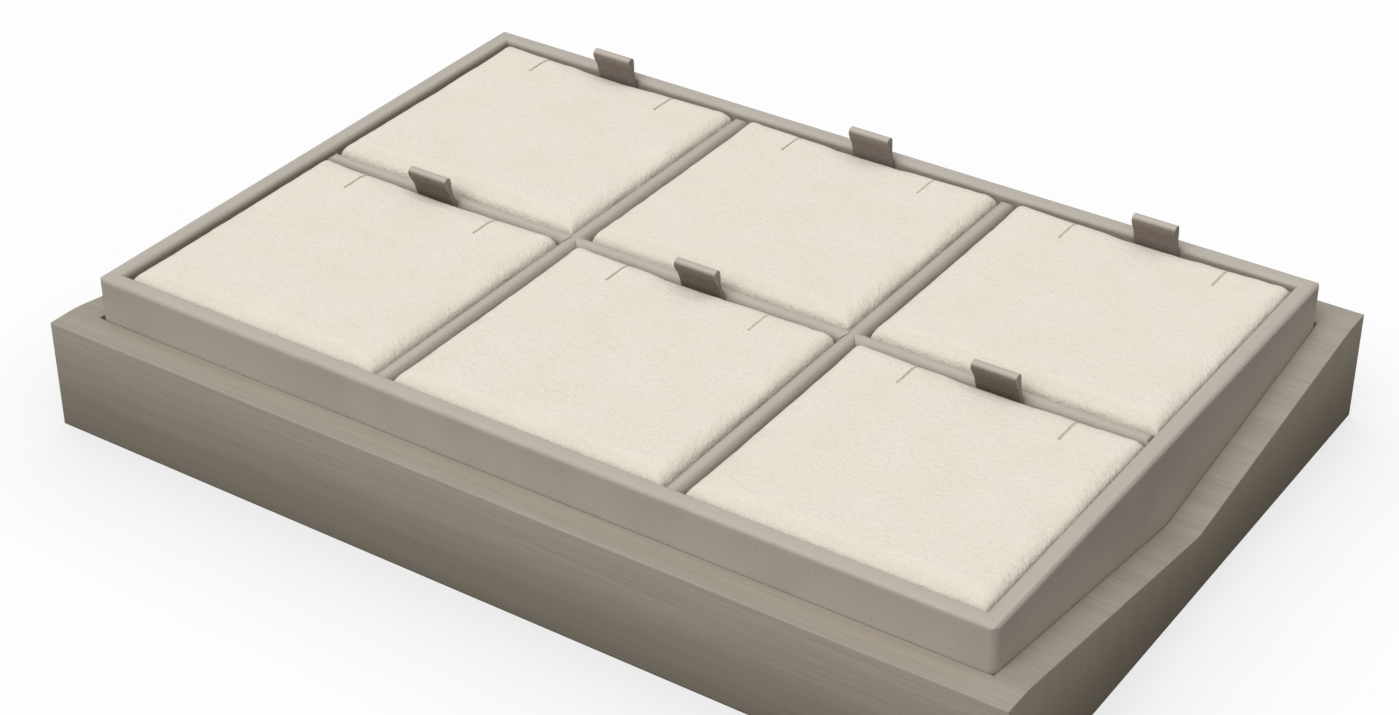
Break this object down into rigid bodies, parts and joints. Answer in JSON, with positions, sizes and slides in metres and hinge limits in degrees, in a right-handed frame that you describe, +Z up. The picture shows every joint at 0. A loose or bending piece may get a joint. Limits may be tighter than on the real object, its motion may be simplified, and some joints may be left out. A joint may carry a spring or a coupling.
{
  "type": "jewellery display tray",
  "caption": "Divided jewellery display tray with removable suede pendant pads that have chain slits and pull tabs, standing in a wood base whose ends dip for the fingers.",
  "frame": {"origin": "under the middle of the base, on the surface that it stands on", "axes": "+X along the base's long side to the right, +Y to the back, where the pull tabs stand on each pad, +Z up"},
  "size_m": [0.32, 0.2206, 0.0592],
  "materials": {
    "base_wood": "satin, fine straight grain",
    "tray_leatherette": "smooth satin",
    "pad_suede": "matte, fine nap",
    "tab_leatherette": "smooth satin"
  },
  "bodies": {
    "root": {"base": "base_wood", "tray": "tray_leatherette", "long_divider": "tray_leatherette", "cross_divider_left": "tray_leatherette", "cross_divider_right": "tray_leatherette", "pad_back_left": "pad_suede", "pad_back_middle": "pad_suede", "pad_back_right": "pad_suede", "pad_front_left": "pad_suede", "pad_front_middle": "pad_suede", "pad_front_right": "pad_suede", "tab_back_left": "tab_leatherette", "tab_back_middle": "tab_leatherette", "tab_back_right": "tab_leatherette", "tab_front_left": "tab_leatherette", "tab_front_middle": "tab_leatherette", "tab_front_right": "tab_leatherette"}
  },
  "joints": []
}
